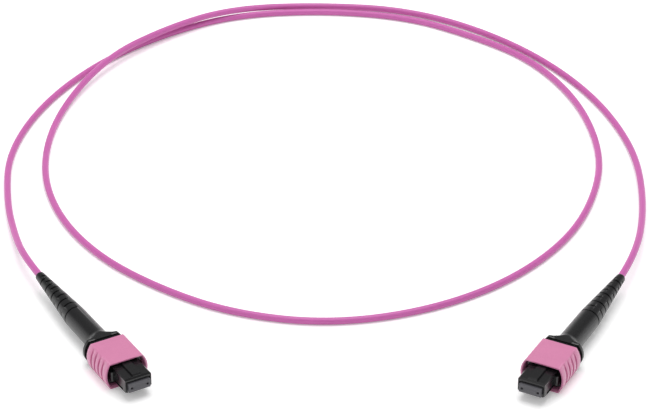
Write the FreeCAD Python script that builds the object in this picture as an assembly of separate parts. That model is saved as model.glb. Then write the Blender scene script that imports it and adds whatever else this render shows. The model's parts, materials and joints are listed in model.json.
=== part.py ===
"""MPO fibre patch cord: two twelve-fibre push-pull connectors joined by one round cord.

All lengths are millimetres. Each connector is modelled in its own frame first: x across, y rearward from the face of
the ferrule, z up from the connector's axis, with the key on top. Connector A then stands on z = 0 with its key up and
mates towards -Y. Connector B is the same connector, turned and moved to the other end of the cord.
"""
import FreeCAD, Part
import math
import os
from FreeCAD import Placement, Rotation, Vector

# Ferrule: the MT type, with two guide pin holes
FERRULE_HEAD_W = 6.4
FERRULE_HEAD_H = 2.5
FERRULE_LENGTH = 8.0
SHOULDER_W = 7.0
SHOULDER_H = 3.0
SHOULDER_LENGTH = 1.4
PIN_HOLE_D = 0.7
PIN_PITCH = 4.6
FERRULE_EDGE = 0.15
WINDOW_W = 3.0
WINDOW_LENGTH = 2.2
WINDOW_DEPTH = 0.7
WINDOW_START = 2.6
FERRULE_TRAVEL = 0.8

# Fibres: a flat ribbon of twelve that gathers into a round bundle
RIBBON_W = 3.06
RIBBON_T = 0.3
BUNDLE_D = 1.1
BUNDLE_SIDES = 8
RIBBON_GATHER = 3.5

# Rubber boot in the back of the ferrule
FERRULE_BOOT_WALL = 0.2
FERRULE_BOOT_H = 1.6
FERRULE_BOOT_LENGTH = 7.0
FERRULE_BOOT_INSET = 3.6

# Pin keeper behind the ferrule
KEEPER_H = 4.8
KEEPER_LENGTH = 2.2
KEEPER_EDGE = 0.4

# Main spring
SPRING_OD = 5.1
SPRING_WIRE = 0.4
SPRING_LENGTH = 6.6
SPRING_TURNS = 5
SPRING_SIDES = 10

# Inner housing
FERRULE_PROUD = 0.9
CHIN_SETBACK = 1.1
HOUSING_WALL = 0.65
HOUSING_TOP = 2.6
HOUSING_BOTTOM = 2.4
LOWER_CHAMFER = 0.9
UPPER_CHAMFER = 0.3
LIP_CHAMFER = 0.4
MOUTH_DEPTH = 0.8
MOUTH_ROOM = 0.35
MAIN_W = 9.5
MAIN_H = 6.0
MAIN_CHAMFER = 0.8
MAIN_START = 9.0
HOUSING_REAR = 19.3
KEY_W = 2.6
KEY_RISE = 0.5
KEY_SETBACK = 0.45
KEY_CHAMFER = 0.35
LUG_H = 2.8
LUG_LENGTH = 1.7
LUG_NOSE = 0.6
POCKET_DEPTH = 0.22
POCKET_H = 2.9
POCKET_START = 1.5
POCKET_LENGTH = 4.6

# Coupling sleeve
SLEEVE_FRONT = 7.65
SLEEVE_LENGTH = 11.35
SLEEVE_WALL = 0.65
SLEEVE_SIDE_WALL = 0.75
SLEEVE_TRAVEL = 1.8
SLEEVE_CORNER = 0.45
HOOK_GAP = 1.6
RIM_CHAMFER = 0.3
GRIP_GROOVES = 4
GRIP_PITCH = 2.1
GRIP_START = 2.1
GRIP_W = 0.75
GRIP_DEPTH = 0.45
PIT_D = 0.6
PIT_SIDES = 6
PIT_DEPTH = 0.7
PIT_DROP = 2.0
PIT_SETBACK = 3.25

# Coupling springs, one in a groove each side of the housing
COUPLING_OD = 1.4
COUPLING_WIRE = 0.25
COUPLING_TURNS = 5
COUPLING_SIDES = 6
GROOVE_START = 11.4
GROOVE_END = 18.2
CATCH_LENGTH = 0.8
CATCH_H = 1.3

# Rear body: spring seat, collar and crimp neck
PLUG_W = 5.9
PLUG_H = 5.0
SNAP_W = 1.6
SNAP_LENGTH = 1.0
SNAP_RISE = 0.35
SNAP_INSET = 0.9
COLLAR_LENGTH = 1.7
NECK_D = 3.6
NECK_LENGTH = 9.0
NECK_BORE_D = 2.1
REAR_BORE_D = 3.5
BORE_SIDES = 8

# Crimp ring
CRIMP_WALL = 0.2
CRIMP_SIDES = 6
CRIMP_LENGTH = 7.0
CRIMP_SETBACK = 1.3

# Strain relief boot
BOOT_LENGTH = 41.0
BOOT_FLANGE_W = 11.8
BOOT_FLANGE_FLAT = 8.7
BOOT_FLANGE_H = 6.8
BOOT_FLANGE_T = 0.9
BOOT_FLARE_LENGTH = 3.4
FLARE_STEPS = 3
BOOT_PLAIN_D = 6.5
BOOT_FLEX_D = 6.3
BOOT_TIP_D = 3.4
BOOT_TIP_ROUND = 0.7
BOOT_BEND = 2.4
RING_SIDES = 16
PLAIN_SHARE = 0.422
SLOT_COUNT = 10
SLOT_W = 0.55
SLOT_CROWDING = 0.36
SLOT_BRIDGE = 1.9
BRIDGE_TURN = 45.0
PATTERN_TURN = 15.0
SLOT_SKIN = 0.25

# Cord
CORD_D = 2.0
CORD_SIDES = 6
CORD_INSIDE = 8.0
CORD_STRAIGHT_A = 8.0
CORD_STRAIGHT_B = 10.0
CORD_HUMP = 6.2

# Clearances
SLIDE_GAP = 0.1
SEAT_GAP = 0.05
SLEEVE_PLAY = 0.25
CORD_GAP = 0.25

# Place of connector B: its middle on the floor, and its turn about Z
B_MIDDLE_X = 113.5
B_MIDDLE_Y = -68.5
B_TURN = -58.5

# Places that follow from the sizes
AXIS = Vector(0, 1, 0)
HOUSING_FRONT_W = FERRULE_HEAD_W + 2 * HOUSING_WALL
SHOULDER_START = FERRULE_LENGTH - SHOULDER_LENGTH
KEEPER_REAR = FERRULE_LENGTH + KEEPER_LENGTH
KEEPER_CAVITY_END = KEEPER_REAR + FERRULE_TRAVEL + SLIDE_GAP
PLUG_FRONT = KEEPER_REAR + SPRING_LENGTH
COLLAR_REAR = HOUSING_REAR + COLLAR_LENGTH
NECK_REAR = COLLAR_REAR + NECK_LENGTH
CONNECTOR_LENGTH = COLLAR_REAR + BOOT_LENGTH
FLEX_START = COLLAR_REAR + PLAIN_SHARE * BOOT_LENGTH
FLEX_LENGTH = CONNECTOR_LENGTH - FLEX_START
FLEX_DIRECTION = Vector(0, math.cos(math.radians(BOOT_BEND)), math.sin(math.radians(BOOT_BEND)))
BOOT_BORE_R = (NECK_D / 2 + SEAT_GAP + CRIMP_WALL) / math.cos(math.pi / CRIMP_SIDES) + SEAT_GAP
CORD_BORE_R = CORD_D / 2 + CORD_GAP
SLEEVE_INNER_H = MAIN_H + 2 * SLEEVE_PLAY
SLEEVE_INNER_W = HOUSING_FRONT_W + 2 * HOOK_GAP
SLEEVE_H = SLEEVE_INNER_H + 2 * SLEEVE_WALL
SLEEVE_W = SLEEVE_INNER_W + 2 * SLEEVE_SIDE_WALL
SLEEVE_FLAT = MAIN_W + 2 * SLIDE_GAP
SLEEVE_INNER_FLAT = SLEEVE_FLAT - SLEEVE_SIDE_WALL
AXIS_HEIGHT = SLEEVE_H / 2
B_MIDDLE = Vector(B_MIDDLE_X, B_MIDDLE_Y, 0)
GROOVE_FLOOR_X = PLUG_W / 2 + SEAT_GAP + 0.35
COUPLING_X = GROOVE_FLOOR_X + SLIDE_GAP + COUPLING_OD / 2


def box(width, length, height, x=0.0, y=0.0, z=0.0):
    """A block centred on x and z, that starts at y."""
    return Part.makeBox(width, length, height, Vector(x - width / 2, y, z - height / 2))


def rod(radius, length, y, x=0.0, z=0.0):
    """A cylinder along the connector's axis that starts at y."""
    return Part.makeCylinder(radius, length, Vector(x, y, z), AXIS)


def regular_outline(radius, sides, centre, first, second):
    """Corners of a regular polygon about a circle of the given radius, in the plane of two unit vectors."""
    reach = radius / math.cos(math.pi / sides)
    corners = []
    for index in range(sides):
        angle = 2 * math.pi * (index + 0.5) / sides
        corners.append(centre + first * (reach * math.cos(angle)) + second * (reach * math.sin(angle)))
    return Part.makePolygon(corners + corners[:1])


def regular_rod(radius, sides, length, y):
    """A regular prism along the connector's axis that starts at y, its flats at the given radius."""
    outline = regular_outline(radius, sides, Vector(0, y, 0), Vector(1, 0, 0), Vector(0, 0, 1))
    return Part.Face(outline).extrude(AXIS * length)


def closed_wire(edges):
    """One wire from edges that meet end to end."""
    return Part.Wire([edge.toShape() for edge in edges])


def barrel_wire(flat, height, width, y):
    """A four-sided outline at y: top and bottom flats of the given width, and sides that bulge to the full width."""
    corner_x = flat / 2
    corner_z = height / 2
    right_top = Vector(corner_x, y, corner_z)
    right_bottom = Vector(corner_x, y, -corner_z)
    left_bottom = Vector(-corner_x, y, -corner_z)
    left_top = Vector(-corner_x, y, corner_z)
    return closed_wire([
        Part.LineSegment(left_top, right_top),
        Part.Arc(right_top, Vector(width / 2, y, 0), right_bottom),
        Part.LineSegment(right_bottom, left_bottom),
        Part.Arc(left_bottom, Vector(-width / 2, y, 0), left_top),
    ])


def barrel(flat, height, width, y, length):
    """A prism of the barrel outline."""
    return Part.Face(barrel_wire(flat, height, width, y)).extrude(AXIS * length)


def axial_edges(shape):
    """The edges of a shape that run along y."""
    found = []
    for edge in shape.Edges:
        run = edge.Vertexes[-1].Point - edge.Vertexes[0].Point
        if run.Length > 1e-6 and abs(run.y) > 0.999 * run.Length:
            found.append(edge)
    return found


def prism(points, length, y):
    """A prism along y of an outline in the x-z plane, given as (x, z) corners."""
    corners = [Vector(x, y, z) for x, z in points]
    return Part.Face(Part.makePolygon(corners + corners[:1])).extrude(AXIS * length)


def ferrule():
    """MT ferrule: head, shoulder, two guide pin holes, the filling window and the cavity for its rubber boot."""
    head = box(FERRULE_HEAD_W, FERRULE_LENGTH, FERRULE_HEAD_H)
    front = [edge for edge in head.Edges if edge.CenterOfMass.y < 1e-6]
    head = head.makeChamfer(FERRULE_EDGE, front)
    shoulder = box(SHOULDER_W, SHOULDER_LENGTH, SHOULDER_H, y=SHOULDER_START)
    body = head.fuse(shoulder)
    for x in (-PIN_PITCH / 2, PIN_PITCH / 2):
        body = body.cut(rod(PIN_HOLE_D / 2, FERRULE_LENGTH, 0, x))
    cavity_length = FERRULE_LENGTH - FERRULE_BOOT_INSET - SEAT_GAP
    cavity = box(
        RIBBON_W + 2 * SEAT_GAP + 2 * FERRULE_BOOT_WALL + 2 * SEAT_GAP,
        FERRULE_LENGTH - cavity_length,
        FERRULE_BOOT_H + 2 * SEAT_GAP,
        y=cavity_length,
    )
    window = box(WINDOW_W, WINDOW_LENGTH, WINDOW_DEPTH, y=WINDOW_START, z=(FERRULE_HEAD_H - WINDOW_DEPTH) / 2)
    return body.cut(cavity).cut(window).removeSplitter()


def ferrule_boot():
    """Rubber boot that holds the ribbon in the back of the ferrule."""
    start = FERRULE_LENGTH - FERRULE_BOOT_INSET
    slot_w = RIBBON_W + 2 * SEAT_GAP
    body = box(slot_w + 2 * FERRULE_BOOT_WALL, FERRULE_BOOT_LENGTH, FERRULE_BOOT_H, y=start)
    slot = box(slot_w, FERRULE_BOOT_LENGTH, RIBBON_T + 2 * SEAT_GAP, y=start)
    return body.cut(slot)


def pin_keeper():
    """Spacer behind the ferrule, which takes the push of the main spring."""
    body = box(SHOULDER_W, KEEPER_LENGTH, KEEPER_H, y=FERRULE_LENGTH)
    corners = axial_edges(body)
    body = body.makeChamfer(KEEPER_EDGE, corners)
    window = box(
        RIBBON_W + 2 * FERRULE_BOOT_WALL + 4 * SEAT_GAP,
        KEEPER_LENGTH,
        FERRULE_BOOT_H + 2 * SEAT_GAP,
        y=FERRULE_LENGTH,
    )
    return body.cut(window)


def coil_spring(outer_d, wire_d, length, turns, sides, x, y):
    """Compression spring of square wire along y, wound as short straight runs, so many sides to a turn."""
    half = wire_d / 2
    radius = outer_d / 2 - half / math.cos(math.pi / sides)
    steps = turns * sides
    rise = length - wire_d - SEAT_GAP
    centres = []
    for step in range(steps + 1):
        angle = 2 * math.pi * step / sides
        along = half + rise * step / steps
        centres.append(Vector(x + radius * math.cos(angle), y + along, -radius * math.sin(angle)))
    start = centres[0]
    corners = [(-half, -half), (half, -half), (half, half), (-half, half)]
    section = [start + Vector(across, along, 0) for across, along in corners]
    path = Part.makePolygon(centres)
    return path.makePipeShell([Part.makePolygon(section + section[:1])], True, False, 1)


def main_spring():
    """Spring that pushes the pin keeper and the ferrule forward."""
    return coil_spring(SPRING_OD, SPRING_WIRE, SPRING_LENGTH, SPRING_TURNS, SPRING_SIDES, 0, KEEPER_REAR)


def housing_front():
    """Narrow front of the housing, with the key, the lug noses and the latch pockets."""
    half = HOUSING_FRONT_W / 2
    outline = [
        (-half + UPPER_CHAMFER, HOUSING_TOP),
        (half - UPPER_CHAMFER, HOUSING_TOP),
        (half, HOUSING_TOP - UPPER_CHAMFER),
        (half, -HOUSING_BOTTOM + LOWER_CHAMFER),
        (half - LOWER_CHAMFER, -HOUSING_BOTTOM),
        (-half + LOWER_CHAMFER, -HOUSING_BOTTOM),
        (-half, -HOUSING_BOTTOM + LOWER_CHAMFER),
        (-half, HOUSING_TOP - UPPER_CHAMFER),
    ]
    body = prism(outline, MAIN_START - FERRULE_PROUD, FERRULE_PROUD)
    lip = [
        edge for edge in body.Edges
        if edge.CenterOfMass.y < FERRULE_PROUD + 1e-6 and edge.CenterOfMass.z > HOUSING_TOP - 1e-6
    ]
    body = body.makeChamfer(LIP_CHAMFER, lip)
    chin_top = FERRULE_HEAD_H / 2 + SLIDE_GAP
    chin_h = HOUSING_BOTTOM - chin_top
    body = body.cut(box(HOUSING_FRONT_W, CHIN_SETBACK, chin_h, y=FERRULE_PROUD, z=-chin_top - chin_h / 2))
    key_start = FERRULE_PROUD + KEY_SETBACK
    key = box(KEY_W, MAIN_START - key_start, KEY_RISE + HOUSING_TOP, y=key_start, z=(KEY_RISE + HOUSING_TOP) / 2)
    key_nose = [
        edge for edge in key.Edges
        if edge.CenterOfMass.y < key_start + 1e-6 and edge.CenterOfMass.z > HOUSING_TOP + KEY_RISE - 1e-6
    ]
    key = key.makeChamfer(KEY_CHAMFER, key_nose)
    body = body.fuse(key)
    for sign in (-1, 1):
        pocket_x = sign * (half - POCKET_DEPTH / 2)
        pocket = box(POCKET_DEPTH, POCKET_LENGTH, POCKET_H, x=pocket_x, y=FERRULE_PROUD + POCKET_START)
        body = body.cut(pocket)
        body = body.fuse(latch_lug(sign))
    return body


def latch_lug(sign):
    """Rounded ramp on one flank, behind which an adapter's hook would catch."""
    reach = (MAIN_W - HOUSING_FRONT_W) / 2
    start = MAIN_START - LUG_LENGTH
    lug = box(reach + HOUSING_WALL / 2, LUG_LENGTH, LUG_H, y=start)
    lug.translate(Vector(sign * (MAIN_W / 2 - (reach + HOUSING_WALL / 2) / 2), 0, 0))
    nose = [
        edge for edge in lug.Edges
        if edge.CenterOfMass.y < start + 1e-6 and abs(edge.CenterOfMass.x) > MAIN_W / 2 - 1e-6
    ]
    return lug.makeFillet(LUG_NOSE, nose)


def inner_housing():
    """Inner housing: it holds the ferrule and its spring, and carries the key."""
    main_length = HOUSING_REAR - MAIN_START
    main = box(MAIN_W, main_length, MAIN_H, y=MAIN_START)
    main = main.makeChamfer(MAIN_CHAMFER, axial_edges(main))
    body = housing_front().fuse(main)
    mouth_w = FERRULE_HEAD_W + 2 * MOUTH_ROOM
    mouth_h = FERRULE_HEAD_H + 2 * MOUTH_ROOM
    body = body.cut(box(mouth_w, MOUTH_DEPTH, mouth_h, y=FERRULE_PROUD))
    channel = box(
        FERRULE_HEAD_W + 2 * SLIDE_GAP,
        SHOULDER_START - FERRULE_PROUD,
        FERRULE_HEAD_H + 2 * SLIDE_GAP,
        y=FERRULE_PROUD,
    )
    body = body.cut(channel)
    cavity_w = SHOULDER_W + 2 * SLIDE_GAP
    body = body.cut(box(cavity_w, SHOULDER_LENGTH, SHOULDER_H + 2 * SLIDE_GAP, y=SHOULDER_START))
    body = body.cut(box(cavity_w, KEEPER_CAVITY_END - FERRULE_LENGTH, KEEPER_H + 2 * SLIDE_GAP, y=FERRULE_LENGTH))
    spring_bore_r = SPRING_OD / 2 + SLIDE_GAP
    body = body.cut(rod(spring_bore_r, PLUG_FRONT - KEEPER_CAVITY_END, KEEPER_CAVITY_END))
    plug_bore = box(
        PLUG_W + 2 * SEAT_GAP,
        HOUSING_REAR - PLUG_FRONT,
        PLUG_H + 2 * SEAT_GAP,
        y=PLUG_FRONT,
    )
    body = body.cut(plug_bore)
    snap_hole = box(
        SNAP_W + 2 * SEAT_GAP,
        SNAP_LENGTH + 2 * SEAT_GAP,
        MAIN_H,
        y=PLUG_FRONT + SNAP_INSET - SEAT_GAP,
    )
    body = body.cut(snap_hole)
    for sign in (-1, 1):
        groove_w = MAIN_W / 2 - GROOVE_FLOOR_X
        groove = box(
            groove_w,
            GROOVE_END - GROOVE_START,
            COUPLING_OD + 2 * SLIDE_GAP,
            x=sign * (GROOVE_FLOOR_X + groove_w / 2),
            y=GROOVE_START,
        )
        body = body.cut(groove)
    return body.removeSplitter()


def coupling_spring(sign):
    """Spring that brings the coupling sleeve forward again, on one side of the housing."""
    start = GROOVE_START + SLIDE_GAP + CATCH_LENGTH
    length = GROOVE_END - start
    x = sign * COUPLING_X
    return coil_spring(COUPLING_OD, COUPLING_WIRE, length, COUPLING_TURNS, COUPLING_SIDES, x, start)


def coupling_sleeve():
    """Pull sleeve with ribbed, bulging sides, and a catch inside each side that meets a coupling spring."""
    body = barrel(SLEEVE_FLAT, SLEEVE_H, SLEEVE_W, SLEEVE_FRONT, SLEEVE_LENGTH)
    body = body.makeFillet(SLEEVE_CORNER, axial_edges(body))
    core = barrel(SLEEVE_FLAT, SLEEVE_H, SLEEVE_W - 2 * GRIP_DEPTH, SLEEVE_FRONT, SLEEVE_LENGTH)
    for index in range(GRIP_GROOVES):
        y = SLEEVE_FRONT + GRIP_START + index * GRIP_PITCH
        groove = box(SLEEVE_W + 2, GRIP_W, SLEEVE_H + 2, y=y)
        body = body.cut(groove.cut(core))
    body = body.cut(barrel(SLEEVE_INNER_FLAT, SLEEVE_INNER_H, SLEEVE_INNER_W, SLEEVE_FRONT, SLEEVE_LENGTH))
    opening = 2 * RIM_CHAMFER
    rim = Part.makeLoft(
        [
            barrel_wire(
                SLEEVE_INNER_FLAT + opening,
                SLEEVE_INNER_H + opening,
                SLEEVE_INNER_W + opening,
                SLEEVE_FRONT,
            ),
            barrel_wire(SLEEVE_INNER_FLAT, SLEEVE_INNER_H, SLEEVE_INNER_W, SLEEVE_FRONT + 2 * RIM_CHAMFER),
        ],
        True,
        True,
    )
    body = body.cut(rim)
    for sign in (-1, 1):
        catch_x = GROOVE_FLOOR_X + 3 * SLIDE_GAP
        catch_w = SLEEVE_INNER_W / 2 + SLEEVE_SIDE_WALL / 2 - catch_x
        catch = box(catch_w, CATCH_LENGTH, CATCH_H, x=sign * (catch_x + catch_w / 2), y=GROOVE_START + SLIDE_GAP)
        body = body.fuse(catch)
        pit_x = sign * (SLEEVE_W / 2 - PIT_DEPTH)
        pit_centre = Vector(pit_x, SLEEVE_FRONT + PIT_SETBACK, -PIT_DROP)
        pit_outline = regular_outline(PIT_D / 2, PIT_SIDES, pit_centre, AXIS, Vector(0, 0, 1))
        pit = Part.Face(pit_outline).extrude(Vector(sign * PIT_DEPTH, 0, 0))
        body = body.cut(pit)
    return body.removeSplitter()


def rear_body():
    """Rear body: the plug that seats the main spring, the collar and the crimp neck."""
    plug = box(PLUG_W, HOUSING_REAR - PLUG_FRONT, PLUG_H, y=PLUG_FRONT)
    snaps = box(SNAP_W, SNAP_LENGTH, PLUG_H + 2 * SNAP_RISE, y=PLUG_FRONT + SNAP_INSET)
    collar = barrel(
        SLEEVE_INNER_FLAT - 2 * SLEEVE_PLAY,
        MAIN_H,
        SLEEVE_INNER_W - 2 * SLEEVE_PLAY,
        HOUSING_REAR,
        COLLAR_LENGTH,
    )
    neck = rod(NECK_D / 2, NECK_LENGTH, COLLAR_REAR)
    body = plug.fuse(snaps).fuse(collar).fuse(neck)
    rear_bore = HOUSING_REAR + RIBBON_GATHER - PLUG_FRONT
    body = body.cut(regular_rod(REAR_BORE_D / 2, BORE_SIDES, rear_bore, PLUG_FRONT))
    body = body.cut(regular_rod(NECK_BORE_D / 2, BORE_SIDES, NECK_LENGTH + COLLAR_LENGTH, HOUSING_REAR))
    return body.removeSplitter()


def crimp_ring():
    """Metal ring over the cord's yarn on the neck, crimped to flats."""
    start = COLLAR_REAR + CRIMP_SETBACK
    inner = NECK_D / 2 + SEAT_GAP
    ring = regular_rod(inner + CRIMP_WALL, CRIMP_SIDES, CRIMP_LENGTH, start)
    return ring.cut(regular_rod(inner, CRIMP_SIDES, CRIMP_LENGTH, start))


def boot_flare():
    """Front of the boot: a plate of the barrel outline, then a hollow trumpet trimmed to that outline."""
    plate = barrel(BOOT_FLANGE_FLAT, BOOT_FLANGE_H, BOOT_FLANGE_W, COLLAR_REAR, BOOT_FLANGE_T)
    start = COLLAR_REAR + BOOT_FLANGE_T
    tube_r = BOOT_PLAIN_D / 2
    spread = BOOT_FLANGE_W / 2 + SLIDE_GAP - tube_r
    profile = []
    for step in range(FLARE_STEPS + 1):
        angle = math.pi / 2 * step / FLARE_STEPS
        radius = tube_r + spread * (1 - math.sin(angle))
        profile.append(Vector(radius, start + BOOT_FLARE_LENGTH * (1 - math.cos(angle)), 0))
    corners = [Vector(0, start, 0)] + profile + [Vector(0, start + BOOT_FLARE_LENGTH, 0), Vector(0, start, 0)]
    trumpet = Part.Face(Part.makePolygon(corners)).revolve(Vector(0, 0, 0), AXIS, 360)
    outline = barrel(BOOT_FLANGE_FLAT, BOOT_FLANGE_H, BOOT_FLANGE_W, start, BOOT_FLARE_LENGTH)
    return plate.fuse(trumpet.common(outline))


def slot_places():
    """Where each flex slot starts along the boot. They draw together towards the tip."""
    span = FLEX_LENGTH - BOOT_TIP_ROUND - SLOT_W
    places = []
    for index in range(SLOT_COUNT):
        share = index / SLOT_COUNT
        places.append(FLEX_START + span * share * (1 + SLOT_CROWDING * (1 - share)))
    return places


def bent(shape):
    """A copy of a shape turned up with the flexible part of the boot, about the start of that part."""
    turned = shape.copy()
    turned.rotate(Vector(0, FLEX_START, 0), Vector(1, 0, 0), BOOT_BEND)
    return turned


def flexible_tube():
    """Flexible part of the boot: rings that get smaller from slot to slot, and a blunt tip."""
    tip_start = CONNECTOR_LENGTH - BOOT_TIP_ROUND
    ends = slot_places()[1:] + [tip_start]
    start = FLEX_START - SLOT_W
    rings = []
    for end in ends:
        share = (end - FLEX_START) / (tip_start - FLEX_START)
        radius = (BOOT_FLEX_D + (BOOT_TIP_D - BOOT_FLEX_D) * share) / 2
        rings.append(regular_rod(radius, RING_SIDES, end - start, start))
        start = end
    tip = regular_rod(radius - BOOT_TIP_ROUND / 3, RING_SIDES, BOOT_TIP_ROUND, tip_start)
    return rings[0].multiFuse(rings[1:] + [tip])


def boot_slot(flank, y):
    """One flex slot: a ring cut, left whole at two bridges, one above and one below the given flank."""
    slot = rod(BOOT_PLAIN_D, SLOT_W, y).cut(regular_rod(CORD_BORE_R + SLOT_SKIN, BORE_SIDES, SLOT_W, y))
    middle = 0 if flank > 0 else 180
    for turn in (-BRIDGE_TURN, BRIDGE_TURN):
        bridge = Part.makeBox(BOOT_PLAIN_D, SLOT_W, SLOT_BRIDGE, Vector(0, y, -SLOT_BRIDGE / 2))
        bridge.rotate(Vector(0, 0, 0), AXIS, -(middle + turn + PATTERN_TURN))
        slot = slot.cut(bridge)
    return slot


def strain_relief_boot(flank):
    """Strain relief boot: plate, flare and plain tube behind the sleeve, then a flexible part with slots.

    The first slot has its bridges on the given flank, and the next ones change sides. The boot fits either way up.
    """
    plain = rod(BOOT_PLAIN_D / 2, FLEX_START - COLLAR_REAR, COLLAR_REAR)
    body = boot_flare().fuse(plain).fuse(bent(flexible_tube()))
    bore_length = NECK_REAR - COLLAR_REAR + SEAT_GAP
    body = body.cut(regular_rod(BOOT_BORE_R, BORE_SIDES, bore_length, COLLAR_REAR))
    body = body.cut(regular_rod(CORD_BORE_R + SLOT_SKIN, BORE_SIDES, FLEX_START - SLOT_W - COLLAR_REAR, COLLAR_REAR))
    body = body.cut(bent(regular_rod(CORD_BORE_R, BORE_SIDES, FLEX_LENGTH + 2 * SLOT_W, FLEX_START - 2 * SLOT_W)))
    for index, y in enumerate(slot_places()):
        body = body.cut(bent(boot_slot(flank * (-1) ** index, y)))
    return body.removeSplitter()


def fibre_bundle():
    """Twelve fibres: a flat ribbon from inside the ferrule's boot, then a round bundle to the cord."""
    start = FERRULE_LENGTH - FERRULE_BOOT_INSET + 2 * FERRULE_TRAVEL
    ribbon = box(RIBBON_W, HOUSING_REAR + RIBBON_GATHER - start, RIBBON_T, y=start)
    bundle = regular_rod(BUNDLE_D / 2, BUNDLE_SIDES, FLEX_START - HOUSING_REAR, HOUSING_REAR)
    rear = regular_rod(BUNDLE_D / 2, BUNDLE_SIDES, FLEX_LENGTH - CORD_INSIDE + BUNDLE_D, FLEX_START - BUNDLE_D)
    return ribbon.fuse(bundle).fuse(bent(rear)).removeSplitter()


def connector(flank):
    """All pieces of one connector, by name, in the connector's own frame, with the boot's first bridges on a flank."""
    return {
        "ferrule": ferrule(),
        "ferrule_boot": ferrule_boot(),
        "pin_keeper": pin_keeper(),
        "main_spring": main_spring(),
        "inner_housing": inner_housing(),
        "coupling_spring_left": coupling_spring(-1),
        "coupling_spring_right": coupling_spring(1),
        "coupling_sleeve": coupling_sleeve(),
        "rear_body": rear_body(),
        "crimp_ring": crimp_ring(),
        "strain_relief_boot": strain_relief_boot(flank),
        "fibre_bundle": fibre_bundle(),
    }


def boot_axis_point(beyond):
    """A point on the axis of the boot's flexible part, the given distance beyond its tip, as connector A stands."""
    return (
        Vector(0, FLEX_START - CONNECTOR_LENGTH / 2, AXIS_HEIGHT)
        + FLEX_DIRECTION * (FLEX_LENGTH + beyond)
    )


def cord_route():
    """Corner points of the cord's route, from inside connector A's boot to inside connector B's."""
    turn = Rotation(Vector(0, 0, 1), B_TURN)
    floor = CORD_D / 2 + SEAT_GAP
    lying = [
        (4.8, 57, 2.4),
        (11.8, 77.5, floor),
        (24, 102.5, floor),
        (45.5, 124.5, floor),
        (73, 140.5, floor),
        (101, 147.5, floor),
        (127.5, 147.5, floor),
        (154.5, 135, floor),
        (175.5, 117, floor),
        (186.5, 95, floor),
        (193.5, 73, floor),
        (191.5, 45, floor),
        (181.5, 18, floor),
        (167.5, -2.5, floor),
        (144.5, -22.5, floor),
        (115.5, -34, floor),
        (86, -35, floor),
        (59.5, -26.5, floor),
        (40, -9, floor),
        (28.5, 12, floor),
        (21, 36.5, floor),
        (21, 63.5, floor),
        (29.5, 91, floor),
        (48.5, 119, floor),
        (75, 138, CORD_HUMP),
        (100, 149, CORD_HUMP),
        (125, 151, floor),
        (152, 141.5, floor),
        (179.5, 121, floor),
        (195, 86.5, floor),
        (198, 48, floor),
        (189.5, 11, floor),
        (172, -19, 1.8),
    ]
    return (
        [boot_axis_point(-CORD_INSIDE), boot_axis_point(CORD_STRAIGHT_A)]
        + [Vector(*point) for point in lying]
        + [B_MIDDLE + turn.multVec(boot_axis_point(CORD_STRAIGHT_B))]
        + [B_MIDDLE + turn.multVec(boot_axis_point(-CORD_INSIDE))]
    )


def cord():
    """The cord as one tube: straight runs joined by tangent arcs, each as large as its two runs allow."""
    points = cord_route()
    edges = []
    radii = []
    last = points[0]
    for before, corner, after in zip(points, points[1:], points[2:]):
        back = (before - corner).normalize()
        ahead = (after - corner).normalize()
        half_turn = (math.pi - back.getAngle(ahead)) / 2
        setback = 0.45 * min((before - corner).Length, (after - corner).Length)
        radius = setback / math.tan(half_turn)
        centre_line = (back + ahead).normalize()
        centre = corner + centre_line * math.hypot(radius, setback)
        start = corner + back * setback
        end = corner + ahead * setback
        middle = centre - centre_line * radius
        edges.append(Part.LineSegment(last, start))
        edges.append(Part.Arc(start, middle, end))
        radii.append(radius)
        last = end
    edges.append(Part.LineSegment(last, points[-1]))
    path = closed_wire(edges)
    across = Vector(1, 0, 0)
    section = regular_outline(CORD_D / 2, CORD_SIDES, points[0], across.cross(FLEX_DIRECTION), across)
    tube = path.makePipeShell([section], True, False)
    expected = Part.Face(section).Area * path.Length
    print("cord length", round(path.Length, 1), "volume share", round(tube.Volume / expected, 5))
    print("cord radii", [round(radius) for radius in radii])
    return tube


def main():
    os.makedirs("parts", exist_ok=True)
    to_floor = Placement(Vector(0, -CONNECTOR_LENGTH / 2, AXIS_HEIGHT), Rotation())
    turn = Rotation(Vector(0, 0, 1), B_TURN)
    places = {"a": to_floor, "b": Placement(B_MIDDLE, turn).multiply(to_floor)}
    for end, flank in (("a", 1), ("b", -1)):
        for name, shape in connector(flank).items():
            placed = shape.copy()
            placed.Placement = places[end].multiply(shape.Placement)
            placed.exportStep("parts/" + name + "_" + end + ".step")
            print(name + "_" + end, placed.ShapeType, len(placed.Solids), placed.isValid(), round(placed.Volume, 3))
    cord().exportStep("parts/cord_jacket.step")


main()
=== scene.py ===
"""Looks of the fibre patch cord: materials, softened edges, the cord, the boots, fibre ends and studio.

Lengths are metres in the row frame: connector A mates towards -Y and lies on z = 0 with its key up.
"""

import json
import math

import bpy
from mathutils import Matrix, Vector


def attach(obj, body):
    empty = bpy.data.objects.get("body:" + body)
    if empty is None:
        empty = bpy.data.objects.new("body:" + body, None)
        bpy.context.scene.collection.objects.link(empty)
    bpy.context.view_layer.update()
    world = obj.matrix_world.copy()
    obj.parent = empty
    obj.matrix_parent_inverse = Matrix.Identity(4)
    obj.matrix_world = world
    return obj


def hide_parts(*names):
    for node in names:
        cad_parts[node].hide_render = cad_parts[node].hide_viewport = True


MM = 0.001

# Connectors, as in the frame
CONNECTOR_LENGTH = 62.0 * MM
AXIS_HEIGHT = 3.9 * MM
FLEX_START = 38.302 * MM
BOOT_BEND = math.radians(2.4)
B_MIDDLE = Vector((113.5 * MM, -68.5 * MM, 0.0))
B_TURN = math.radians(-58.5)
BODY = "housings_and_cord"

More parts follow.
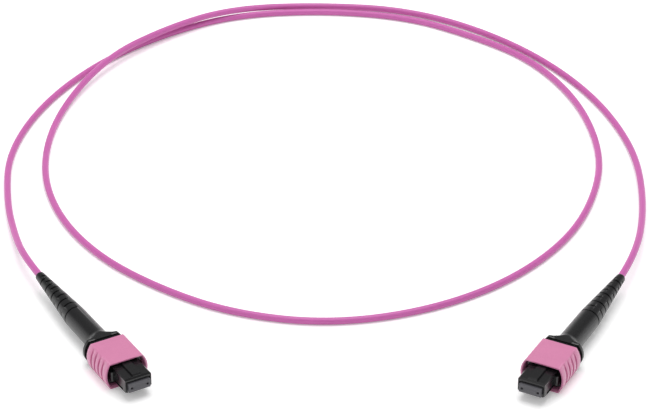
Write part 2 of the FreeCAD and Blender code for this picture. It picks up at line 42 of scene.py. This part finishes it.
# Cord
CORD_RADIUS = 1.0 * MM
CORD_INSIDE = 8.0 * MM
CORD_STRAIGHT_A = 8.0 * MM
CORD_STRAIGHT_B = 10.0 * MM

# Corner points of the cord's route between the connectors, in millimetres
ROUTE = [
    (4.8, 57, 2.4),
    (11.8, 77.5, 1),
    (24, 102.5, 1),
    (45.5, 124.5, 1),
    (73, 140.5, 1),
    (101, 147.5, 1),
    (127.5, 147.5, 1),
    (154.5, 135, 1),
    (175.5, 117, 1),
    (186.5, 95, 1),
    (193.5, 73, 1),
    (191.5, 45, 1),
    (181.5, 18, 1),
    (167.5, -2.5, 1),
    (144.5, -22.5, 1),
    (115.5, -34, 1),
    (86, -35, 1),
    (59.5, -26.5, 1),
    (40, -9, 1),
    (28.5, 12, 1),
    (21, 36.5, 1),
    (21, 63.5, 1),
    (29.5, 91, 1),
    (48.5, 118.5, 1),
    (75, 138, 3.6),
    (99.5, 145.8, 3.7),
    (124, 148.3, 3.5),
    (151.5, 141.6, 1),
    (179.5, 121, 1),
    (195, 86.5, 1),
    (198, 48, 1),
    (189.5, 11, 1),
    (172, -19, 1.8),
]

# Strain relief boots: places along connector A's axis, from its ferrule's face, and radii, in millimetres;
# turns in degrees
BOOT_COLUMNS = 96
BOOT_START = 21.0
PLATE_END = 21.9
FLARE_LENGTH = 3.4
FLANGE_W = 11.8
FLANGE_FLAT = 8.7
FLANGE_H = 6.8
PLATE_LIP = 0.08
FLARE_STEPS = 12
PLAIN_R = 3.25
FLEX_R = 3.15
TIP_R = 1.38
TIP_ROUND = 0.7
TIP_STEPS = ((0.0, 0.0), (0.3, 0.02), (0.55, 0.08), (0.66, 0.16), (TIP_ROUND, 0.22))
FLEX_REACH = 22.6
RING_TAPER = 0.6
SLOTS = 10
SLOT_W = 0.5
SLOT_CROWDING = 0.36
SLOT_FLOOR_R = 1.15
SLOT_LIP = 0.07
SLOT_DRAFT = 0.02
BRIDGE_HALF = 0.95
BRIDGE_TURN = 45.0
PATTERN_TURN = 15.0
BOOT_CREASE = math.radians(38)
NECK_ROOM = 2.42
BORE = ((1.05, 38.4), (1.5, 37.7), (1.5, 30.1), (NECK_ROOM, 30.1), (NECK_ROOM, BOOT_START))

# Fibre ends in the ferrule's face
FIBRES = 12
FIBRE_SIDES = 12
FIBRE_PITCH = 0.25 * MM
FIBRE_RADIUS = 0.07 * MM
FIBRE_PROUD = 0.004 * MM

# Edge rounding by piece
WELD_REACH = 0.0005 * MM
EDGE_ANGLE = math.radians(40)
EDGE = {
    "coupling_sleeve": 0.06 * MM,
    "inner_housing": 0.09 * MM,
    "ferrule": 0.04 * MM,
    "rear_body": 0.08 * MM,
    "pin_keeper": 0.06 * MM,
}

# Materials
ROUGHNESS_SPREAD = 0.06
BUMP_STRENGTH = 0.6

# Camera
CAMERA = Vector((-268.3, -583.7, 428.4)) * MM
YAW = math.radians(30.42)
PITCH = math.radians(31.085)
LENS = 157.0

# Studio
FLOOR = 4.0
FLOOR_GLOW = 0.22
FLOOR_DROP = 0.02 * MM
WORLD_LIGHT = 0.5
# Heights of a ray's direction where the white backdrop ends and the dim ceiling starts
BACKDROP_TOP = 0.15
CEILING_START = 0.42
CEILING = 0.25
LAMP_TARGET = Vector((0.1, 0.05, 0.0))
LAMPS = (
    ("top_lamp", (0.25, 0.2, 1.25), 1.0, 10.5),
    ("left_lamp", (-0.9, 0.1, 0.7), 0.9, 1.5),
)


def new_material(name):
    """An empty node material, with its principled shader and its object coordinates."""
    material = bpy.data.materials.new(name)
    material.use_nodes = True
    nodes = material.node_tree.nodes
    nodes.clear()
    output = nodes.new("ShaderNodeOutputMaterial")
    shader = nodes.new("ShaderNodeBsdfPrincipled")
    place = nodes.new("ShaderNodeTexCoord")
    material.node_tree.links.new(shader.outputs["BSDF"], output.inputs["Surface"])
    return material, nodes, material.node_tree.links, shader, place


def noise(nodes, links, place, size, detail):
    """Noise with features of about the given size in metres."""
    texture = nodes.new("ShaderNodeTexNoise")
    texture.inputs["Scale"].default_value = 1 / size
    texture.inputs["Detail"].default_value = detail
    links.new(place.outputs["Object"], texture.inputs["Vector"])
    return texture


def surface(
    name, colour, roughness, grain, bump, tint=0.06, blotch=3 * MM, metallic=0.0, specular=0.5, coat=0.0
):
    """A material with a fine grain in its bump and roughness, and a slow drift in its colour."""
    material, nodes, links, shader, place = new_material(name)
    slow = noise(nodes, links, place, blotch, 3.0)
    darker = tuple(c * (1 - tint) for c in colour) + (1.0,)
    lighter = tuple(min(1.0, c * (1 + tint)) for c in colour) + (1.0,)
    mix = nodes.new("ShaderNodeMix")
    mix.data_type = "RGBA"
    mix.inputs["A"].default_value = darker
    mix.inputs["B"].default_value = lighter
    links.new(slow.outputs["Fac"], mix.inputs["Factor"])
    links.new(mix.outputs["Result"], shader.inputs["Base Color"])
    fine = noise(nodes, links, place, grain, 4.0)
    spread = nodes.new("ShaderNodeMapRange")
    spread.inputs["To Min"].default_value = max(0.0, roughness - ROUGHNESS_SPREAD)
    spread.inputs["To Max"].default_value = min(1.0, roughness + ROUGHNESS_SPREAD)
    links.new(fine.outputs["Fac"], spread.inputs["Value"])
    links.new(spread.outputs["Result"], shader.inputs["Roughness"])
    relief = nodes.new("ShaderNodeBump")
    relief.inputs["Strength"].default_value = BUMP_STRENGTH
    relief.inputs["Distance"].default_value = bump
    links.new(fine.outputs["Fac"], relief.inputs["Height"])
    links.new(relief.outputs["Normal"], shader.inputs["Normal"])
    shader.inputs["Metallic"].default_value = metallic
    shader.inputs["Specular IOR Level"].default_value = specular
    shader.inputs["Coat Weight"].default_value = coat
    return material


def make_materials():
    """One material for each of the record's slots."""
    return {
        "housing_plastic": surface("housing_plastic", (0.009, 0.009, 0.01), 0.22, 0.08 * MM, 0.0015 * MM),
        "sleeve_plastic": surface(
            "sleeve_plastic", (0.69, 0.23, 0.415), 0.27, 0.07 * MM, 0.002 * MM, tint=0.04, specular=0.8
        ),
        "ferrule_filled_resin": surface(
            "ferrule_filled_resin",
            (0.09, 0.088, 0.1),
            0.45,
            0.03 * MM,
            0.002 * MM,
            tint=0.2,
            blotch=0.2 * MM,
        ),
        "keeper_plastic": surface("keeper_plastic", (0.02, 0.02, 0.021), 0.5, 0.08 * MM, 0.002 * MM),
        "ferrule_boot_rubber": surface(
            "ferrule_boot_rubber", (0.02, 0.02, 0.02), 0.7, 0.05 * MM, 0.004 * MM
        ),
        "boot_rubber": surface("boot_rubber", (0.009, 0.009, 0.01), 0.24, 0.06 * MM, 0.0015 * MM, tint=0.1),
        "spring_steel": surface(
            "spring_steel", (0.62, 0.61, 0.6), 0.28, 0.03 * MM, 0.001 * MM, metallic=1.0
        ),
        "crimp_metal": surface("crimp_metal", (0.8, 0.8, 0.81), 0.35, 0.05 * MM, 0.002 * MM, metallic=1.0),
        "fibre_ribbon": surface("fibre_ribbon", (0.15, 0.15, 0.17), 0.2, 0.1 * MM, 0.001 * MM, coat=0.3),
        "cord_jacket": surface(
            "cord_jacket", (0.61, 0.13, 0.43), 0.38, 0.12 * MM, 0.006 * MM, tint=0.05, blotch=20 * MM
        ),
    }


def dress(node, slot_material, edge):
    """Give a CAD node its material, and round its edges where it shows them."""
    node.data.materials.clear()
    node.data.materials.append(slot_material)
    if edge:
        weld = node.modifiers.new("weld", "WELD")
        weld.merge_threshold = WELD_REACH
        bevel = node.modifiers.new("edge", "BEVEL")
        bevel.width = edge
        bevel.segments = 2
        bevel.limit_method = "ANGLE"
        bevel.angle_limit = EDGE_ANGLE
        bevel.use_clamp_overlap = True
        bevel.harden_normals = True


def boot_axis_point(beyond):
    """A point on the axis of connector A's bent boot, the given distance beyond its tip."""
    along = CONNECTOR_LENGTH - FLEX_START + beyond
    start = FLEX_START - CONNECTOR_LENGTH / 2
    return Vector((0.0, start + along * math.cos(BOOT_BEND), AXIS_HEIGHT + along * math.sin(BOOT_BEND)))


def cord_points():
    """The cord's control points, from inside connector A's boot to inside connector B's."""
    turn = Matrix.Rotation(B_TURN, 3, "Z")
    start = [boot_axis_point(-CORD_INSIDE), boot_axis_point(CORD_STRAIGHT_A)]
    end = [B_MIDDLE + turn @ boot_axis_point(reach) for reach in (CORD_STRAIGHT_B, -CORD_INSIDE)]
    return start + [Vector(point) * MM for point in ROUTE] + end


def make_cord(material):
    """The round cord, one smooth spline through the loop."""
    points = cord_points()
    curve = bpy.data.curves.new("cord", "CURVE")
    curve.dimensions = "3D"
    curve.bevel_depth = CORD_RADIUS
    curve.bevel_resolution = 6
    curve.resolution_u = 12
    spline = curve.splines.new("NURBS")
    spline.points.add(len(points) - 1)
    for target, point in zip(spline.points, points):
        target.co = (point.x, point.y, point.z, 1.0)
    spline.order_u = 3
    spline.use_endpoint_u = True
    curve.materials.append(material)
    cord = bpy.data.objects.new("cord", curve)
    bpy.context.scene.collection.objects.link(cord)
    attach(cord, BODY)
    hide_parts("cord_jacket")
    return cord


def flange_radius(turn):
    """Distance from the axis to the flange's outline, flat above and below and bulging at its sides."""
    half_w, half_flat, half_h = FLANGE_W / 2, FLANGE_FLAT / 2, FLANGE_H / 2
    rise = half_w - half_flat
    arc = (rise ** 2 + half_h ** 2) / (2 * rise)
    centre = half_w - arc
    side = centre * abs(math.cos(turn)) + math.sqrt(arc ** 2 - (centre * math.sin(turn)) ** 2)
    flat = half_h / max(abs(math.sin(turn)), 0.001)
    return min(side, flat)


def plain_station(y, radius):
    """A round station of the boot: its place along the axis, and a radius for every column."""
    return y, [radius] * BOOT_COLUMNS


def flange_stations():
    """The boot's plate, then its flare: a trumpet trimmed to the flange's outline."""
    turns = [2 * math.pi * column / BOOT_COLUMNS for column in range(BOOT_COLUMNS)]
    outline = [flange_radius(turn) for turn in turns]
    lip = [radius - PLATE_LIP for radius in outline]
    stations = [(BOOT_START, lip), (BOOT_START + PLATE_LIP, outline), (PLATE_END, outline)]
    spread = FLANGE_W / 2 - PLAIN_R
    for step in range(FLARE_STEPS + 1):
        angle = math.pi / 2 * step / FLARE_STEPS
        trumpet = PLAIN_R + spread * (1 - math.sin(angle))
        y = PLATE_END + FLARE_LENGTH * (1 - math.cos(angle))
        stations.append((y, [min(trumpet, side) for side in outline]))
    return stations


def in_bridge(column, radius, middle):
    """Whether the ring is left whole here: two bridges, one above and one below the given flank."""
    turn = 360 * column / BOOT_COLUMNS
    for side in (-BRIDGE_TURN, BRIDGE_TURN):
        apart = math.radians(turn - middle - side - PATTERN_TURN)
        if math.cos(apart) > 0 and abs(radius * math.sin(apart)) < BRIDGE_HALF:
            return True
    return False


def slot_stations(y, before, after, middle):
    """The stations of one flex slot: softened lips, walls and a floor, between two rings."""
    cut = [not in_bridge(column, before, middle) for column in range(BOOT_COLUMNS)]
    steps = (
        (y - SLOT_LIP, before, before),
        (y, before, before - SLOT_LIP),
        (y + SLOT_DRAFT, before, SLOT_FLOOR_R),
        (y + SLOT_W - SLOT_DRAFT, after, SLOT_FLOOR_R),
        (y + SLOT_W, after, after - SLOT_LIP),
        (y + SLOT_W + SLOT_LIP, after, after),
    )
    return [(at, [low if open_here else high for open_here in cut]) for at, high, low in steps]


def flex_stations(flank):
    """The boot's flexible part: rings that get smaller to the tip, with slots that change sides."""
    start = FLEX_START / MM
    span = FLEX_REACH - TIP_ROUND - SLOT_W
    places = []
    for index in range(SLOTS):
        share = index / SLOTS
        places.append(start + span * share * (1 + SLOT_CROWDING * (1 - share)))
    tip = start + FLEX_REACH - TIP_ROUND
    ends = places[1:] + [tip]
    stations = []
    before = FLEX_R
    for index, (place, end) in enumerate(zip(places, ends)):
        full = FLEX_R + (TIP_R - FLEX_R) * (place - start) / (tip - start)
        leaves = FLEX_R + (TIP_R - FLEX_R) * (end - start) / (tip - start)
        after = full + (leaves - full) * (1 - RING_TAPER) / 2
        middle = 0 if flank * (-1) ** index > 0 else 180
        stations += slot_stations(place, before, after, middle)
        before = after + (leaves - full) * RING_TAPER
    for along, inward in TIP_STEPS:
        stations.append(plain_station(tip + along, before - inward))
    return stations


def boot_point(y, radius, column):
    """A point of connector A's boot in metres, with the flexible part turned up."""
    turn = 2 * math.pi * column / BOOT_COLUMNS
    x = radius * MM * math.cos(turn)
    z = radius * MM * math.sin(turn)
    beyond = y * MM - FLEX_START
    if beyond > 0:
        along = beyond * math.cos(BOOT_BEND) - z * math.sin(BOOT_BEND)
        z = beyond * math.sin(BOOT_BEND) + z * math.cos(BOOT_BEND)
        beyond = along
    return (x, FLEX_START + beyond - CONNECTOR_LENGTH / 2, AXIS_HEIGHT + z)


def place_at_end(piece, end):
    """Link a piece made in connector A's place, and move it to its own connector."""
    if end == "b":
        piece.location = B_MIDDLE
        piece.rotation_euler = (0.0, 0.0, B_TURN)
    bpy.context.scene.collection.objects.link(piece)
    bpy.context.view_layer.update()


def make_boot(end, flank, material):
    """One boot as a closed skin: outside from the plate to the tip, and back through its bore."""
    tip = FLEX_START / MM + FLEX_REACH
    stations = flange_stations() + flex_stations(flank)
    stations += [plain_station(tip, BORE[0][0])] + [plain_station(y, radius) for radius, y in BORE]
    vertices = []
    faces = []
    for index, (y, radii) in enumerate(stations):
        vertices += [boot_point(y, radius, column) for column, radius in enumerate(radii)]
        here = index * BOOT_COLUMNS
        there = (index + 1) % len(stations) * BOOT_COLUMNS
        for column in range(BOOT_COLUMNS):
            after = (column + 1) % BOOT_COLUMNS
            faces.append([here + column, there + column, there + after, here + after])
    mesh = bpy.data.meshes.new("boot_" + end)
    mesh.from_pydata(vertices, [], faces)
    mesh.shade_smooth()
    mesh.set_sharp_from_angle(angle=BOOT_CREASE)
    mesh.materials.append(material)
    boot = bpy.data.objects.new("boot_" + end, mesh)
    place_at_end(boot, end)
    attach(boot, BODY)
    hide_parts("strain_relief_boot_" + end)
    return boot


def make_fibre_ends(end, material):
    """The polished ends of the fibres, a row of small discs in the ferrule's face."""
    vertices = []
    faces = []
    face_y = -CONNECTOR_LENGTH / 2 - FIBRE_PROUD
    for index in range(FIBRES):
        x = (index - (FIBRES - 1) / 2) * FIBRE_PITCH
        first = len(vertices)
        for depth in (0.0, 10 * FIBRE_PROUD):
            for side in range(FIBRE_SIDES):
                angle = 2 * math.pi * side / FIBRE_SIDES
                height = AXIS_HEIGHT + FIBRE_RADIUS * math.sin(angle)
                vertices.append((x + FIBRE_RADIUS * math.cos(angle), face_y + depth, height))
        back = first + FIBRE_SIDES
        faces.append([first + side for side in range(FIBRE_SIDES)])
        faces.append([back + side for side in reversed(range(FIBRE_SIDES))])
        for side in range(FIBRE_SIDES):
            after = (side + 1) % FIBRE_SIDES
            faces.append([first + after, first + side, back + side, back + after])
    mesh = bpy.data.meshes.new("fibre_ends_" + end)
    mesh.from_pydata(vertices, [], faces)
    mesh.materials.append(material)
    ends = bpy.data.objects.new("fibre_ends_" + end, mesh)
    place_at_end(ends, end)
    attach(ends, "ferrule_group_" + end)
    return ends


def seen_directly(nodes, links):
    """One for rays from the camera, off a shiny surface or through glass, and nought for the others."""
    path = nodes.new("ShaderNodeLightPath")
    total = path.outputs["Is Camera Ray"]
    for kind in ("Is Glossy Ray", "Is Transmission Ray"):
        add = nodes.new("ShaderNodeMath")
        add.operation = "ADD"
        add.use_clamp = True
        links.new(total, add.inputs[0])
        links.new(path.outputs[kind], add.inputs[1])
        total = add.outputs["Value"]
    return total


def make_floor():
    """A white floor that keeps the shadows, with a glow that only the camera, metal and glass see."""
    mesh = bpy.data.meshes.new("floor")
    corners = [(-FLOOR, -FLOOR, 0), (FLOOR, -FLOOR, 0), (FLOOR, FLOOR, 0), (-FLOOR, FLOOR, 0)]
    mesh.from_pydata(corners, [], [(0, 1, 2, 3)])
    material, nodes, links, shader, _ = new_material("floor")
    shader.inputs["Base Color"].default_value = (0.97, 0.97, 0.97, 1.0)
    shader.inputs["Roughness"].default_value = 0.9
    shader.inputs["Specular IOR Level"].default_value = 0.1
    shader.inputs["Emission Color"].default_value = (1.0, 1.0, 1.0, 1.0)
    glow = nodes.new("ShaderNodeMath")
    glow.operation = "MULTIPLY"
    links.new(seen_directly(nodes, links), glow.inputs[0])
    glow.inputs[1].default_value = FLOOR_GLOW
    links.new(glow.outputs["Value"], shader.inputs["Emission Strength"])
    mesh.materials.append(material)
    floor = bpy.data.objects.new("floor", mesh)
    floor.location.z = -FLOOR_DROP
    bpy.context.scene.collection.objects.link(floor)


def make_lights():
    """Two broad lamps, and a grey surround that the eye sees white, and darker overhead."""
    for name, place_at, size, power in LAMPS:
        lamp = bpy.data.lights.new(name, "AREA")
        lamp.shape = "SQUARE"
        lamp.size = size
        lamp.energy = power
        holder = bpy.data.objects.new(name, lamp)
        holder.location = place_at
        aim = LAMP_TARGET - Vector(place_at)
        holder.rotation_euler = aim.to_track_quat("-Z", "Y").to_euler()
        bpy.context.scene.collection.objects.link(holder)
    world = bpy.data.worlds.new("tent")
    world.use_nodes = True
    nodes = world.node_tree.nodes
    links = world.node_tree.links
    background = nodes["Background"]
    background.inputs["Color"].default_value = (1.0, 1.0, 1.0, 1.0)
    place = nodes.new("ShaderNodeTexCoord")
    height = nodes.new("ShaderNodeSeparateXYZ")
    links.new(place.outputs["Generated"], height.inputs["Vector"])
    backdrop = nodes.new("ShaderNodeMapRange")
    links.new(height.outputs["Z"], backdrop.inputs["Value"])
    backdrop.inputs["From Min"].default_value = BACKDROP_TOP
    backdrop.inputs["From Max"].default_value = CEILING_START
    backdrop.inputs["To Min"].default_value = 1.0
    backdrop.inputs["To Max"].default_value = CEILING
    choice = nodes.new("ShaderNodeMix")
    links.new(seen_directly(nodes, links), choice.inputs["Factor"])
    choice.inputs["A"].default_value = WORLD_LIGHT
    links.new(backdrop.outputs["Result"], choice.inputs["B"])
    links.new(choice.outputs["Result"], background.inputs["Strength"])
    bpy.context.scene.world = world


def make_camera():
    """The camera, level from side to side and looking down at the front of both connectors."""
    camera = bpy.data.cameras.new("camera")
    camera.sensor_fit = "HORIZONTAL"
    camera.sensor_width = 36.0
    camera.lens = LENS
    camera.clip_start = 0.01
    camera.clip_end = 20.0
    holder = bpy.data.objects.new("camera", camera)
    holder.location = CAMERA
    forward = Vector((math.sin(YAW) * math.cos(PITCH), math.cos(YAW) * math.cos(PITCH), -math.sin(PITCH)))
    holder.rotation_euler = forward.to_track_quat("-Z", "Y").to_euler()
    bpy.context.scene.collection.objects.link(holder)
    bpy.context.scene.camera = holder


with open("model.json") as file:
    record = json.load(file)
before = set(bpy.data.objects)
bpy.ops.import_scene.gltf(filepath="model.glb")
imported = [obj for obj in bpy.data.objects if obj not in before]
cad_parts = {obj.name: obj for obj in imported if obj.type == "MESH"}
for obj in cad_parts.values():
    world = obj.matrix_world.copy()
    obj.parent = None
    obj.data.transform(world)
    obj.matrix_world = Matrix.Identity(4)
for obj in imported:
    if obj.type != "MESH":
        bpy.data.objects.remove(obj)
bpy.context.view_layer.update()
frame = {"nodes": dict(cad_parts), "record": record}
materials = make_materials()
slots = {part["node"]: part["material_slot"] for part in frame["record"]["subparts"]}
for name, node in frame["nodes"].items():
    dress(node, materials[slots[name]], EDGE.get(name[:-2]))
for end, flank in (("a", 1), ("b", -1)):
    fibre_ends = make_fibre_ends(end, materials["fibre_ribbon"])
    make_boot(end, flank, materials["boot_rubber"])
make_cord(materials["cord_jacket"])
make_floor()
make_lights()
make_camera()
bpy.context.scene.view_settings.view_transform = "Standard"
